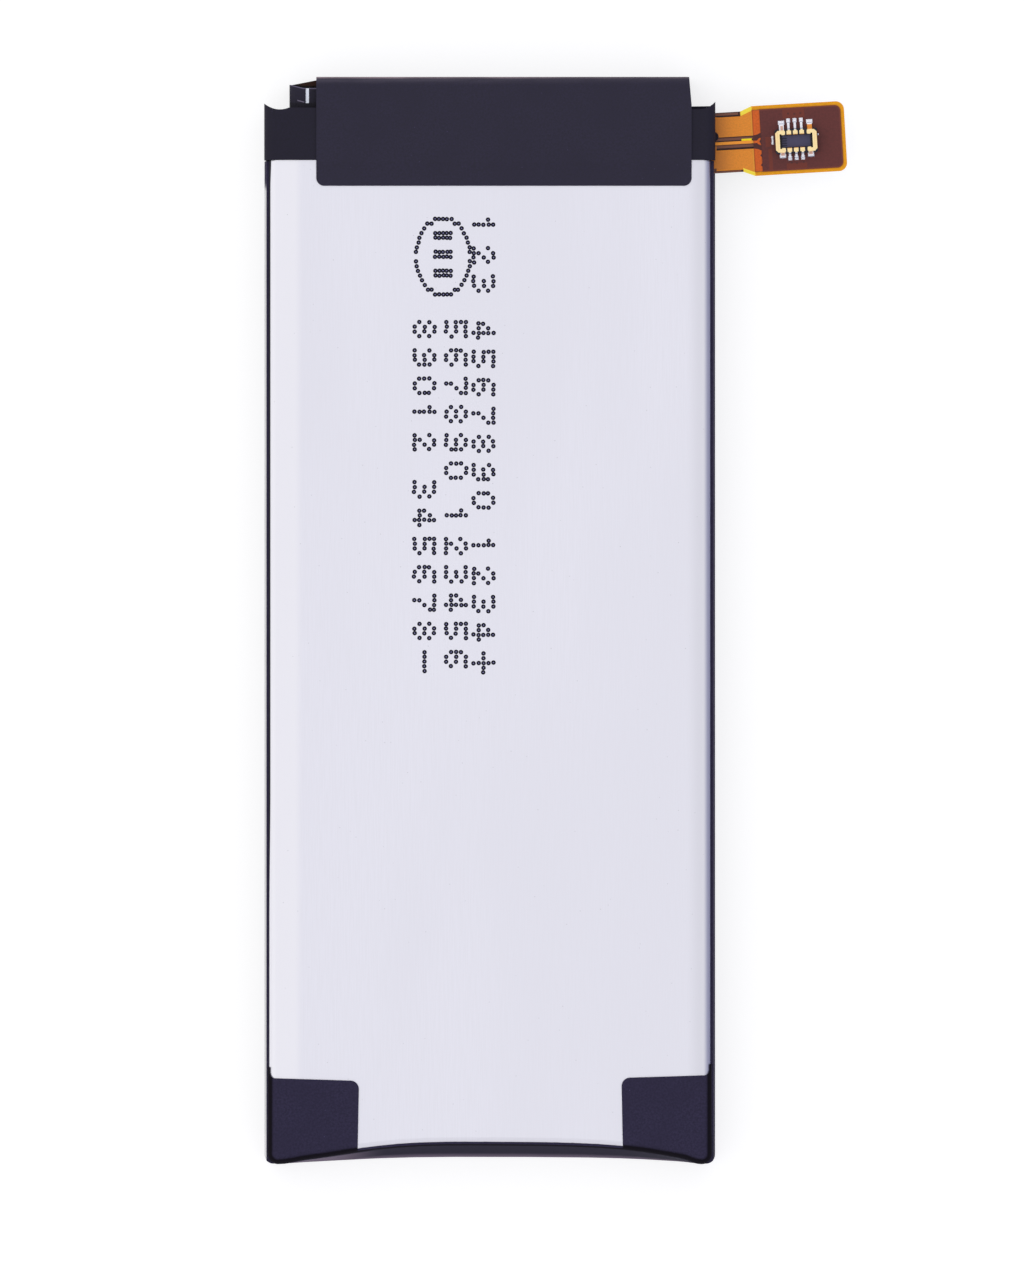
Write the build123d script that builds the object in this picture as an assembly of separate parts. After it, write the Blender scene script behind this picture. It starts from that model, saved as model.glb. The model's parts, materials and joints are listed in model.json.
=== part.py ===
from build123d import *
import os

# Slim lithium polymer pack for a phone. Millimetres throughout.
# The origin is on the plane the pack lies on, under the middle of the cell.
# +Z comes out of the bare face, +Y runs to the terminal end, the tail leaves towards +X.

# Black polyester tape
tape = 0.08
face_gap = 0.02
slot_clearance = 0.04

# Pouch cell
cell_length = 57.2
cup_width = 24.0
cup_depth = 3.3
terrace_depth = 2.35
corner_radius = 0.5
face_edge_radius = 0.38
back_edge_chamfer = 0.3

# The end wall leans: its upper edge bows in further than its lower edge.
# Each share pair is a place across the half width and the rise there as part of the bow.
face_bow = 1.1
back_bow = 0.28
bow_share_left = ((0.86, 0.17), (0.77, 0.33), (0.60, 0.64), (0.38, 0.92))
bow_share_right = ((0.89, 0.22), (0.82, 0.40), (0.74, 0.57), (0.61, 0.77), (0.40, 0.93))

# Side seals, folded up against the cup and on past it beside the terrace
wing_thickness = 0.17
wing_drop = 0.43
wing_bottom_gap = 0.03
wing_root = 0.7
wing_lean = 0.12

# Terrace: the sealed shelf that carries the board
terrace_thickness = 0.3
terrace_lift = 0.2

# Cell tabs and the seal films round them
tab_width = 3.0
tab_thickness = 0.1
tab_inset = 7.2
tab_bend_radius = 0.3
tab_reach = 0.45
tab_root = 1.5
tab_weld_length = 2.0
seal_margin = 0.9
seal_thickness = 0.16
seal_reach = 0.3

# Protection board, from the cup's end wall to a little past the terrace
board_left_inset = 2.1
board_right_inset = 1.9
board_gap = 0.2
board_overhang = 1.15
board_thickness = 0.5
pad_thickness = 0.15
pad_margin = 0.2
mounting_pad_gap = 0.4
mounting_pad_width = 1.7

# Parts on the board, each as length and width
switch_size = (3.0, 2.0)
monitor_size = (1.6, 1.6)
resistor_size = (1.0, 0.5)
capacitor_size = (1.0, 0.5)
thermistor_size = (1.6, 0.8)
terminal_length = 0.22
terminal_proud = 0.02
leg_length = 0.35
leg_width = 0.3
leg_thickness = 0.12
switch_legs_per_row = 4
monitor_legs_per_row = 3
lid_draft_angle = 4

# Heights of the parts, as a share of the thermistor's, which fills the sleeve
switch_height_share = 0.9
monitor_height_share = 0.72
resistor_height_share = 0.42
capacitor_height_share = 0.6

# Places of the parts, from the board's lower edge
thermistor_across = 1.0
package_across = 1.9
identity_across = 1.2
sense_across = 2.5
capacitor_across = 2.5

# Nickel link at the left end of the board
link_width = 0.8
link_thickness = 0.1
link_foot = 0.8
link_riser_inset = 0.35
link_slit_margin = 0.3

# Tape sleeve round the board
sleeve_left_inset = 1.12
sleeve_right_inset = 2.05
sleeve_front_reach = 1.17
sleeve_back_reach = 1.62
sleeve_back_drop = 0.3
sleeve_front_rise = 0.2
sleeve_slope_length = 0.75
sleeve_face_gap = 0.58
sleeve_part_gap = 0.23
sleeve_lap = 1.6
sleeve_radius = 0.3
slit_inset = 0.88
slit_width = 0.18
slit_length = 0.84

# Wrap round the terrace. Its cut ends run askew, from their left reach to their right reach.
wrap_lap = 0.4
wrap_front_left_reach = 0.1
wrap_front_right_reach = 0.0
wrap_back_left_reach = -0.15
wrap_back_right_reach = 0.22
wrap_corner = 0.4

# Ear at each end of the wrap's front edge
left_ear_rise = 0.22
left_ear_inset = 1.35
left_dip_inset = 0.9
left_dip = 0.1
right_ear_rise = 0.42
right_ear_inset = 0.95
right_bend_inset = 0.38
right_bend = 0.12
nub_radius = 0.26
nub_offset = 0.35

# Cover tape over the front, the top edge and the back of the terrace
cover_left_inset = 2.58
cover_right_inset = 1.04
cover_lap = 1.4
cover_reach = 1.77
cover_corner = 0.43
cover_front_bend = 0.5
cover_back_bend = 0.1
cover_ramp = 0.45
cover_ramp_gap = 0.1
cover_trim_start = 0.25
cover_trim = 0.14

# Edge tape: side strips, end band and corner tabs, cut from one piece
left_patch_size = (5.05, 4.53)
right_patch_size = (5.0, 4.69)
patch_rise = 0.15
patch_lean = 0.1
patch_corner = 0.46
patch_inner_corner = 0.35
patch_column = 0.3
back_margin = 1.6
back_margin_corner = 1.0
edge_tape_gap = 0.05
band_top_gap = 0.1

# Flat tail: place, turn and layers
tail_side_gap = 0.07
tail_rise = 0.53
tail_turn = 3.3
tail_narrow_width = 3.28
tail_wide_width = 3.8
tail_length = 7.1
tail_corner = 0.45
flare_start = 1.45
flare_length = 0.63
tail_inset = 0.2
film_thickness = 0.06
copper_thickness = 0.035
coverlay_thickness = 0.085
stiffener_thickness = 0.2
stiffener_margin = 0.12
backing_thickness = 0.05
backing_start = 0.1
neck_board_length = 3.7
neck_bottom_gap = 0.15
neck_top_gap = 0.25

# Copper areas across the tail, as lowest and highest place
upper_plane = (0.30, 1.38)
lower_plane = (-1.52, -0.41)
sense_line = (-0.12, 0.04)

# Their leads inside the pack, as lowest and highest place from the cup's end wall
upper_lead = (0.95, 1.95)
lower_lead = (0.22, 0.36)
sense_lead = (0.44, 0.57)
lead_margin = 0.25
link_strip = 0.14
coverlay_border = 0.22
coverlay_corner = 0.3

# Board-to-board connector on the tail
connector_along = 4.41
connector_across = -0.13
housing_length = 2.3
housing_width = 1.34
housing_height = 0.57
housing_corner = 0.12
cavity_length = 1.6
cavity_width = 0.7
cavity_floor = 0.25
key_length = 0.16
key_width = 0.07
key_height = 0.06
key_pitch = 0.13
contact_pitch = 0.35
contact_shift = -0.03
contact_head_width = 0.25
contact_neck_width = 0.13
contact_thickness = 0.06
upper_foot_end = 1.2
lower_foot_end = 0.99
contact_leg_drop = 0.25
contact_bend = 0.05
contacts_per_row = 3
power_outer = 1.13
power_arm_end = 0.59
power_strip = 0.24
power_tip_length = 0.2
power_tip_radius = 0.07
power_arm_dip = 0.05
power_corner = 0.14
power_tail_width = 0.26
power_tail_place = 0.765
upper_power_end = 1.1
lower_power_end = 0.86
solder_thickness = 0.03
solder_length = 0.22
solder_margin = 0.04

# Places along and across the pack that follow from the sizes above
cell_bottom = -cell_length / 2
terrace_end = cell_length / 2
cup_end = terrace_end - terrace_depth
pack_half_width = cup_width / 2 + wing_thickness
tab_spacing = cup_width - 2 * tab_inset
board_left = board_left_inset - cup_width / 2
board_right = cup_width / 2 - board_right_inset
board_start = cup_end + board_gap
board_end = terrace_end + board_overhang
sleeve_left = sleeve_left_inset - cup_width / 2
sleeve_right = cup_width / 2 - sleeve_right_inset
sleeve_front_end = terrace_end + sleeve_front_reach
sleeve_back_end = terrace_end + sleeve_back_reach
slit_left = sleeve_left + slit_inset
link_riser = board_left + link_riser_inset
wrap_start = cup_end - wrap_lap
wrap_back_end = terrace_end + wrap_back_right_reach
cover_left = cover_left_inset - cup_width / 2
cover_right = cup_width / 2 - cover_right_inset
cover_start = wrap_start - cover_lap
cover_ramp_start = wrap_start - cover_ramp_gap - cover_ramp
cover_end = terrace_end + cover_reach
tail_exit_x = pack_half_width + tail_side_gap
tail_exit_y = cup_end + tail_rise
neck_left = board_right - neck_board_length
neck_top = terrace_end - neck_top_gap

# Levels that follow from the sizes above
back_level = tape
face_level = back_level + cup_depth
terrace_back = back_level + terrace_lift
terrace_top = terrace_back + terrace_thickness
wing_top = face_level - wing_drop
tab_level = terrace_back + terrace_thickness / 2
tab_return = tab_level + 2 * tab_bend_radius
pad_back = tab_return + tab_thickness / 2
board_back = pad_back + pad_thickness
board_top = board_back + board_thickness
sleeve_level = face_level - sleeve_face_gap
thermistor_height = sleeve_level - sleeve_part_gap - board_top
film_top = board_top + film_thickness
coverlay_top = film_top + coverlay_thickness
tail_place = Pos(tail_exit_x, tail_exit_y, 0) * Rot(0, 0, tail_turn)
connector_place = tail_place * Pos(connector_along, connector_across, coverlay_top)
far = 10 * cell_length


def slab(x0, x1, y0, y1, z0, z1):
    """Block between two corners."""
    block = Box(x1 - x0, y1 - y0, z1 - z0)
    return Pos((x0 + x1) / 2, (y0 + y1) / 2, (z0 + z1) / 2) * block


def both_sides(solid):
    """The solid and its mirror image across the middle of the pack."""
    return solid + mirror(solid, Plane.YZ)


def bent_strip(points, radii, width, thickness, across):
    """Strip of one thickness that follows rounded corners in a plane square to across."""
    path = FilletPolyline(*points, radius=radii)
    section = Plane(origin=path @ 0, x_dir=across, z_dir=path % 0) * Rectangle(width, thickness)
    return sweep(section, path=path)


def along_y(points, radii, width, thickness):
    """Bent strip whose points are given as (y, z), centred on x = 0."""
    return bent_strip([(0, y, z) for y, z in points], radii, width, thickness, (1, 0, 0))


def along_x(points, radii, width, thickness):
    """Bent strip whose points are given as (x, z), centred on y = 0."""
    return bent_strip([(x, 0, z) for x, z in points], radii, width, thickness, (0, 1, 0))


def cup_middle(flat, bottom, top, bow, level):
    """Cup between its corners, seen at one level, with its lower edge bowed upwards."""
    reach = cup_width / 2
    lower = [(-flat, bottom)]
    lower += [(-reach * part, bottom + bow * rise) for part, rise in bow_share_left]
    lower += [(0, bottom + bow)]
    lower += [(reach * part, bottom + bow * rise) for part, rise in reversed(bow_share_right)]
    lower += [(flat, bottom)]
    edges = [
        Spline(*lower, tangents=((1, 0), (1, 0))),
        Polyline((flat, bottom), (flat, top), (-flat, top), (-flat, bottom)),
    ]
    return Pos(0, 0, level) * make_face(Curve() + edges)


def cup_side(flat, half, bottom, top):
    """Cup beyond its right-hand corners' centres, seen from the front."""
    radius = half - flat
    edges = [
        RadiusArc((flat, bottom), (half, bottom + radius), -radius),
        Line((half, bottom + radius), (half, top - radius)),
        RadiusArc((half, top - radius), (flat, top), -radius),
        Line((flat, top), (flat, bottom)),
    ]
    return make_face(Curve() + edges)


def grown_chamfer(grow):
    """Leg of the back edges' chamfer on a form that is larger all round by grow."""
    return back_edge_chamfer + (2 - 2 ** 0.5) * grow


def cup_form(grow):
    """Body of the drawn cup with its leaning end wall, made larger all round by grow."""
    half = cup_width / 2 + grow
    flat = cup_width / 2 - corner_radius
    bottom = cell_bottom - grow
    top = cup_end + grow
    low = back_level - grow
    high = face_level + grow
    lower = cup_middle(flat, bottom, top, back_bow, low)
    upper = cup_middle(flat, bottom, top, face_bow, high)
    side = Pos(0, 0, low) * extrude(cup_side(flat, half, bottom, top), high - low)
    body = loft([lower, upper], ruled=True) + both_sides(side)
    body = fillet(body.edges().group_by(Axis.Z)[-1], face_edge_radius + grow)
    return chamfer(body.edges().group_by(Axis.Z)[0], grown_chamfer(grow))


def wing_form(grow, end):
    """Both folded side seals as far as end, leaning in towards their tops, larger by grow."""
    start = cell_bottom + wing_bottom_gap - grow
    outer = pack_half_width + grow
    inner = cup_width / 2 - wing_root
    low = back_level - grow
    leg = grown_chamfer(grow)
    section = make_face(Polyline(
        (inner, low),
        (outer - leg, low),
        (outer, low + leg),
        (outer - wing_lean, wing_top + grow),
        (inner, wing_top + grow),
        close=True,
    ))
    wing = Pos(0, start, 0) * extrude(Plane.XZ * section, start - end)
    corner = Pos(outer, start) * Rectangle(2 * corner_radius, 2 * corner_radius)
    corner -= Pos(outer - corner_radius, start + corner_radius) * Circle(corner_radius)
    return both_sides(wing - extrude(corner, far, both=True))


def tail_slot(clearance):
    """Space that the tail needs where it leaves through the right-hand wall."""
    lowest = tail_exit_y - tail_narrow_width / 2 - clearance
    highest = tail_exit_y + tail_narrow_width / 2 + clearance
    floor = board_top - backing_thickness - clearance
    ceiling = film_top + copper_thickness + clearance
    return slab(cup_width / 2, pack_half_width + 2 * tape, lowest, highest, floor, ceiling)


def wing_notch():
    """Cut that lowers the right-hand side seal where the tail crosses it."""
    lowest = tail_exit_y - tail_narrow_width / 2 - slot_clearance
    floor = board_top - backing_thickness - slot_clearance
    return slab(cup_width / 2, far, lowest, far, floor, far)


def terrace():
    """Sealed shelf beyond the end wall of the cup."""
    half = cup_width / 2
    return slab(-half, half, cup_end - corner_radius, terrace_end, terrace_back, terrace_top)


def tab_strip():
    """One tab: out of the seal, round a bend and back under the board."""
    bend_start = terrace_end + tab_reach + tab_bend_radius
    weld_end = terrace_end + tab_reach - tab_weld_length
    points = (
        (terrace_end - tab_root, tab_level),
        (bend_start, tab_level),
        (bend_start, tab_return),
        (weld_end, tab_return),
    )
    corner = tab_bend_radius - face_gap / 2
    return along_y(points, [corner, corner], tab_width, tab_thickness)


def tab_places():
    """Places of the positive and the negative tab."""
    return Pos(tab_spacing / 2, 0, 0), Pos(-tab_spacing / 2, 0, 0)


def seal_film():
    """Film that seals one tab into the terrace, with the tab's slot through it."""
    half = tab_width / 2 + seal_margin
    low = tab_level - seal_thickness / 2
    block = slab(-half, half, terrace_end - tab_root, terrace_end + seal_reach, low, low + seal_thickness)
    block = fillet(block.edges().filter_by(Axis.Z), seal_thickness)
    return block - tab_strip()


def pouch_cell():
    """Sealed cell: drawn cup, terrace and folded side seals in one piece."""
    body = cup_form(0) + wing_form(0, terrace_end) + terrace()
    body -= slab(-far, far, cup_end, far, -far, terrace_back)
    body -= slab(-cup_width / 2, cup_width / 2, cup_end, far, terrace_top, far)
    body -= wing_notch()
    for place in tab_places():
        body -= place * (tab_strip() + seal_film())
    return body


def corner_patch(size):
    """Corner tab of the edge tape, on the right, with its inner side and its upper side askew."""
    width, height = size
    outer = pack_half_width + tape
    bottom = cell_bottom - corner_radius
    top = cell_bottom - tape + height
    column = cup_width / 2 - face_gap
    corners = (
        (outer - width, bottom),
        (outer - width - patch_lean, top),
        (column, top + patch_rise),
        (column, top + patch_rise + 2 * patch_column),
        (outer + tape, top + patch_rise + 2 * patch_column),
        (outer + tape, bottom),
    )
    outline = make_face(Polyline(*corners, close=True))
    for place, radius in ((corners[1], patch_corner), (corners[2], patch_inner_corner)):
        nearest = outline.vertices().sort_by_distance((*place, 0))[0]
        outline = fillet(nearest, radius)
    return Pos(0, 0, wing_top + tape) * extrude(outline, face_level)


def edge_tape_mask():
    """Regions of the pack's skin that the edge tape covers."""
    end = wrap_start - edge_tape_gap
    wall = cup_width / 2
    patches = corner_patch(right_patch_size) + mirror(corner_patch(left_patch_size), Plane.YZ)
    strips = slab(wall, far, cell_bottom - corner_radius, end, back_level, wing_top + tape)
    band_top = cell_bottom + face_bow + corner_radius
    band = slab(-far, far, -far, band_top, back_level, face_level - band_top_gap)
    margins = slab(-far, far, -far, end, -far, back_level)
    half = pack_half_width + tape - back_margin
    bottom = cell_bottom + back_margin
    window = Pos(0, (bottom + far) / 2) * Rectangle(2 * half, far - bottom)
    window = fillet(window.vertices(), back_margin_corner)
    margins -= Pos(0, 0, -tape) * extrude(window, 3 * tape)
    return patches + both_sides(strips) + band + margins


def edge_tape():
    """Die-cut tape round the sides and the lower end."""
    end = wrap_start - edge_tape_gap
    inner = cup_form(0) + wing_form(0, end + edge_tape_gap)
    outer = cup_form(tape) + wing_form(tape, end)
    skin = outer - inner
    return (skin & edge_tape_mask()) - tail_slot(slot_clearance)


def wrap_section(grow):
    """Section of the wrap in the XZ plane, made larger by grow."""
    half = pack_half_width + grow
    low = terrace_back - grow
    high = face_level + grow
    shape = Pos(0, (low + high) / 2) * Rectangle(2 * half, high - low)
    shape = fillet(shape.vertices().group_by(Axis.Y)[-1], wrap_corner + grow)
    return Plane.XZ * shape


def wrap_front_cut():
    """Wrap's front panel seen from the front, with an ear at each end of its cut edge."""
    outer = pack_half_width + tape
    left = terrace_end + wrap_front_left_reach
    right = terrace_end + wrap_front_right_reach
    left_tip = (-outer, left + left_ear_rise)
    left_low = (left_dip_inset - outer, left - left_dip)
    left_foot = (left_ear_inset - outer, left)
    right_foot = (outer - right_ear_inset, right)
    right_low = (outer - right_bend_inset, right + right_bend)
    right_tip = (outer, right + right_ear_rise)
    edges = [
        Spline(left_tip, left_low, left_foot),
        Line(left_foot, right_foot),
        Spline(right_foot, right_low, right_tip, tangents=((1, 0), (1, 1))),
        Polyline(right_tip, (outer, -far), (-outer, -far), left_tip),
    ]
    return make_face(Curve() + edges)


def wrap_back_cut():
    """Wrap's back panel seen from the front, with its askew end."""
    outer = pack_half_width + tape
    return make_face(Polyline(
        (-outer, -far),
        (outer, -far),
        (outer, terrace_end + wrap_back_right_reach),
        (-outer, terrace_end + wrap_back_left_reach),
        close=True,
    ))


def top_wrap():
    """Tape wound once round the terrace, with its ears, open towards the board's end."""
    length = terrace_end + right_ear_rise + left_ear_rise - wrap_start
    tube = extrude(wrap_section(tape) - wrap_section(0), -length)
    tube = Pos(0, wrap_start, 0) * tube
    tube -= slab(-far, far, -far, cup_end + face_gap, -far, terrace_back)
    split_level = (board_top + face_level) / 2
    front = tube & (Pos(0, 0, split_level) * extrude(wrap_front_cut(), far))
    back = tube & (Pos(0, 0, split_level) * extrude(wrap_back_cut(), -far))
    nub = Cylinder(nub_radius, 2 * tape, align=(Align.CENTER, Align.CENTER, Align.MIN))
    nub = Pos(pack_half_width, tail_exit_y + nub_offset, film_top + copper_thickness) * nub
    nub -= slab(-far, pack_half_width, -far, far, -far, far)
    return front + back - tail_slot(slot_clearance) + nub


def cover_tape():
    """Tape laid over the front of the wrap, round the top edge and under the terrace."""
    front = face_level + 3 * tape / 2
    low = face_level + tape / 2
    back = terrace_back - 3 * tape / 2
    end = cover_end - tape / 2
    points = (
        (cover_start, low),
        (cover_ramp_start, low),
        (cover_ramp_start + cover_ramp, front),
        (end, front),
        (end, back),
        (cup_end + face_gap, back),
    )
    radii = [tape, tape, cover_front_bend, cover_back_bend]
    strip = along_y(points, radii, cover_right - cover_left, tape)
    corners = strip.faces().sort_by(Axis.Y)[0].edges().filter_by(Axis.Z)
    strip = fillet(corners, cover_corner)
    strip = Pos((cover_left + cover_right) / 2, 0, 0) * strip
    trim = make_face(Polyline(
        (cover_right, terrace_end + cover_trim_start),
        (cover_right - cover_trim, cover_end + tape),
        (cover_right + cover_trim, cover_end + tape),
        close=True,
    ))
    return strip - extrude(trim, far)


def sleeve_section():
    """Section of the sleeve's end: front panel, folded edge at the left, back panel."""
    low = terrace_back - tape / 2
    high = sleeve_level + tape / 2
    left = sleeve_left + tape / 2
    points = ((sleeve_right, high), (left, high), (left, low), (sleeve_right, low))
    return points, [sleeve_radius, sleeve_radius]


def board_sleeve():
    """Tape folded round the board, with the slit in its front panel."""
    points, radii = sleeve_section()
    back_start = wrap_back_end + 2 * slot_clearance
    start = back_start - sleeve_lap
    length = sleeve_back_end - start
    fold = Pos(0, start + length / 2, 0) * along_x(points, radii, length, tape)
    fold -= slab(-far, far, -far, back_start, -far, terrace_top + face_gap)
    half_level = (terrace_back + sleeve_level) / 2
    beyond_front = make_face(Polyline(
        (sleeve_left - tape, sleeve_front_end + sleeve_front_rise),
        (sleeve_left + sleeve_slope_length, sleeve_front_end),
        (sleeve_right, sleeve_front_end),
        (sleeve_right, far),
        (sleeve_left - tape, far),
        close=True,
    ))
    beyond_front = Pos(0, 0, half_level) * extrude(beyond_front, far)
    slit = slab(
        slit_left, slit_left + slit_width, sleeve_front_end - slit_length, far, half_level, far
    )
    slope = make_face(Polyline(
        (sleeve_left - tape, sleeve_back_end - sleeve_back_drop),
        (cover_left, sleeve_back_end),
        (cover_left, far),
        (sleeve_left - tape, far),
        close=True,
    ))
    return fold - beyond_front - slit - extrude(slope, far)


def protection_board():
    """Bare circuit board on the terrace."""
    board = slab(board_left, board_right, board_start, board_end, board_back, board_top)
    return fillet(board.edges().filter_by(Axis.Z), board_thickness)


def weld_pad():
    """Nickel pad between one tab and the board."""
    half = tab_width / 2 + pad_margin
    weld_end = terrace_end + tab_reach - tab_weld_length
    pad = slab(-half, half, weld_end, weld_end + tab_weld_length, pad_back, board_back)
    return fillet(pad.edges().filter_by(Axis.Z), pad_margin)


def mounting_pad():
    """Foam pad that holds the board off the terrace between the tabs."""
    half = (tab_spacing - tab_width) / 2 - pad_margin - mounting_pad_gap
    return slab(
        -half, half, terrace_end - mounting_pad_width, terrace_end, terrace_top, board_back
    )


def chip(size, height):
    """Two-ended chip part with its terminals standing slightly proud."""
    length, width = size
    core = height - 2 * terminal_proud
    body = Box(length - 2 * terminal_proud, width, core)
    for side in (-1, 1):
        end = Box(terminal_length, width + 2 * terminal_proud, height)
        body += Pos(side * (length - terminal_length) / 2, 0, 0) * end
    return Pos(0, 0, height / 2) * body


def package(size, height, legs):
    """Moulded package with a drafted lid and a row of legs along each long side."""
    length, width = size
    body = extrude(Rectangle(length, width - 2 * leg_length), height, taper=lid_draft_angle)
    pitch = length / legs
    for row in (-1, 1):
        for index in range(legs):
            along = (index - (legs - 1) / 2) * pitch
            leg = Box(leg_width, leg_length * 2, leg_thickness)
            body += Pos(along, row * (width / 2 - leg_length), leg_thickness / 2) * leg
    return body


def column_places():
    """Middles of the six columns of parts, spread evenly from the board's left end to the tail."""
    sizes = (thermistor_size, switch_size, monitor_size, resistor_size, capacitor_size, capacitor_size)
    lengths = [size[0] for size in sizes]
    gap = (neck_left - board_left - sum(lengths)) / (len(lengths) + 1)
    place = board_left
    for length in lengths:
        yield place + gap + length / 2
        place += gap + length


def on_board(part, along, across):
    """Place a part on the board, from the pack's middle and the board's lower edge."""
    return Pos(along, board_start + across, board_top) * part


def link_strap():
    """Nickel link that steps up from the board's left end to the sleeve."""
    low = board_top + link_thickness / 2
    high = sleeve_level - link_thickness / 2
    points = (
        (link_riser + link_foot, low),
        (link_riser, low),
        (link_riser, high),
        (slit_left - link_slit_margin, high),
    )
    strap = along_x(points, [link_thickness, link_thickness], link_width, link_thickness)
    return Pos(0, sleeve_front_end - link_width / 2 - face_gap, 0) * strap


def tail_outline():
    """Outline of the tail outside the pack, from its exit to its far end."""
    narrow = tail_narrow_width / 2
    wide = tail_wide_width / 2
    flare_end = flare_start + flare_length
    outline = make_face(Polyline(
        (-tail_inset, -narrow),
        (flare_start, -narrow),
        (flare_end, -wide),
        (tail_length, -wide),
        (tail_length, wide),
        (flare_end, wide),
        (flare_start, narrow),
        (-tail_inset, narrow),
        close=True,
    ))
    return fillet(outline.vertices().group_by(Axis.X)[-1], tail_corner)


def strip_2d(x0, x1, y0, y1):
    """Rectangle between two corners."""
    return Pos((x0 + x1) / 2, (y0 + y1) / 2) * Rectangle(x1 - x0, y1 - y0)


def flex_base_film():
    """Polyimide film from the board to the end of the tail."""
    neck = strip_2d(neck_left, tail_exit_x, cup_end + neck_bottom_gap, neck_top)
    outline = neck + tail_place * tail_outline()
    return Pos(0, 0, board_top) * extrude(outline, film_thickness)


def copper_area(across, lead):
    """One copper area: its lead inside the pack and its stretch along the tail."""
    inner = cup_width / 2 + 2 * face_gap
    outer = inner + link_strip
    lowest = cup_end + lead[0]
    highest = cup_end + lead[1]
    reach = strip_2d(neck_left + lead_margin, outer, lowest, highest)
    low = min(tail_exit_y + across[0] + link_strip, lowest)
    high = max(tail_exit_y + across[1] - link_strip, highest)
    link = strip_2d(inner, outer + link_strip, low, high)
    plane = tail_place * copper_plane(across)
    return Pos(0, 0, film_top) * extrude(reach + link + plane, copper_thickness)


def copper_plane(across):
    """One copper area on the tail, which widens with the tail's flare where it borders on it."""
    flare = (tail_wide_width - tail_narrow_width) / 2
    low, high = across
    lower_flare = flare if low < -tail_narrow_width / 4 else 0
    upper_flare = flare if high > tail_narrow_width / 4 else 0
    flare_end = flare_start + flare_length
    return make_face(Polyline(
        (0, low),
        (flare_start, low),
        (flare_end, low - lower_flare),
        (flare_end, high + upper_flare),
        (flare_start, high),
        (0, high),
        close=True,
    ))


def connector_coverlay():
    """Cover film on the wide end of the tail."""
    half = tail_wide_width / 2 - coverlay_border
    outline = strip_2d(flare_start + flare_length, tail_length - coverlay_border, -half, half)
    outline = fillet(outline.vertices().group_by(Axis.X)[-1], coverlay_corner)
    return tail_place * Pos(0, 0, film_top) * extrude(outline, coverlay_thickness)


def connector_stiffener():
    """Plate bonded under the wide end of the tail."""
    half = tail_wide_width / 2 - stiffener_margin
    outline = strip_2d(flare_start + flare_length, tail_length - stiffener_margin, -half, half)
    outline = fillet(outline.vertices(), coverlay_corner)
    return tail_place * Pos(0, 0, board_top) * extrude(outline, -stiffener_thickness)


def tail_backing_tape():
    """Black tape under the narrow stretch of the tail."""
    half = tail_narrow_width / 2
    outline = strip_2d(backing_start, flare_start, -half, half)
    return tail_place * Pos(0, 0, board_top) * extrude(outline, -backing_thickness)


def signal_contact(foot_end):
    """Signal contact of the upper row: a narrow tail up the wall and a wide head over the rim."""
    wall_outside = housing_width / 2 - face_gap - contact_thickness / 2
    wall_inside = cavity_width / 2 + contact_thickness / 2
    foot = solder_thickness + contact_thickness / 2
    top = housing_height
    tail_points = (
        (foot_end, foot),
        (wall_outside, foot),
        (wall_outside, top),
        (wall_inside + contact_bend, top),
    )
    head_points = (
        (wall_outside - contact_bend, top),
        (wall_inside, top),
        (wall_inside, top - contact_leg_drop),
    )
    tail = along_y(tail_points, [contact_bend] * 2, contact_neck_width, contact_thickness)
    return tail + along_y(head_points, [contact_bend], contact_head_width, contact_thickness)


def contact_places():
    """Places of the six signal contacts and the ends of their feet, upper row first."""
    for turn, foot_end in ((0, upper_foot_end), (180, lower_foot_end)):
        for index in range(contacts_per_row):
            along = (index - (contacts_per_row - 1) / 2) * contact_pitch + contact_shift
            yield Pos(along, 0, 0) * Rot(0, 0, turn), foot_end


def power_tail(foot_end):
    """Upper tail of a power contact, from its foot up the wall and over the rim."""
    foot = solder_thickness + contact_thickness / 2
    wall = housing_width / 2 - face_gap - contact_thickness / 2
    points = (
        (foot_end, foot),
        (wall, foot),
        (wall, housing_height),
        (cavity_width / 2 + power_arm_dip + contact_bend, housing_height),
    )
    return along_y(points, [contact_bend] * 2, power_tail_width, contact_thickness)


def power_contact():
    """Power contact at the left end: a bracket on the rim and two soldered tails."""
    half = housing_width / 2 - contact_thickness - face_gap
    inner = cavity_width / 2
    strip_end = power_strip - power_outer
    tip_start = -power_arm_end - power_tip_length
    plate = strip_2d(-power_outer, -power_arm_end, -half, half)
    plate -= strip_2d(strip_end, tip_start, -inner - power_arm_dip, inner + power_arm_dip)
    plate -= strip_2d(tip_start, 0, -inner, inner)
    plate = chamfer(plate.vertices().group_by(Axis.X)[0], power_corner)
    plate = fillet(plate.vertices().group_by(Axis.X)[-1], power_tip_radius)
    bracket = Pos(0, 0, housing_height - contact_thickness / 2) * extrude(plate, contact_thickness)
    tails = power_tail(upper_power_end) + mirror(power_tail(lower_power_end), Plane.XZ)
    return bracket + Pos(-power_tail_place, 0, 0) * tails


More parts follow.
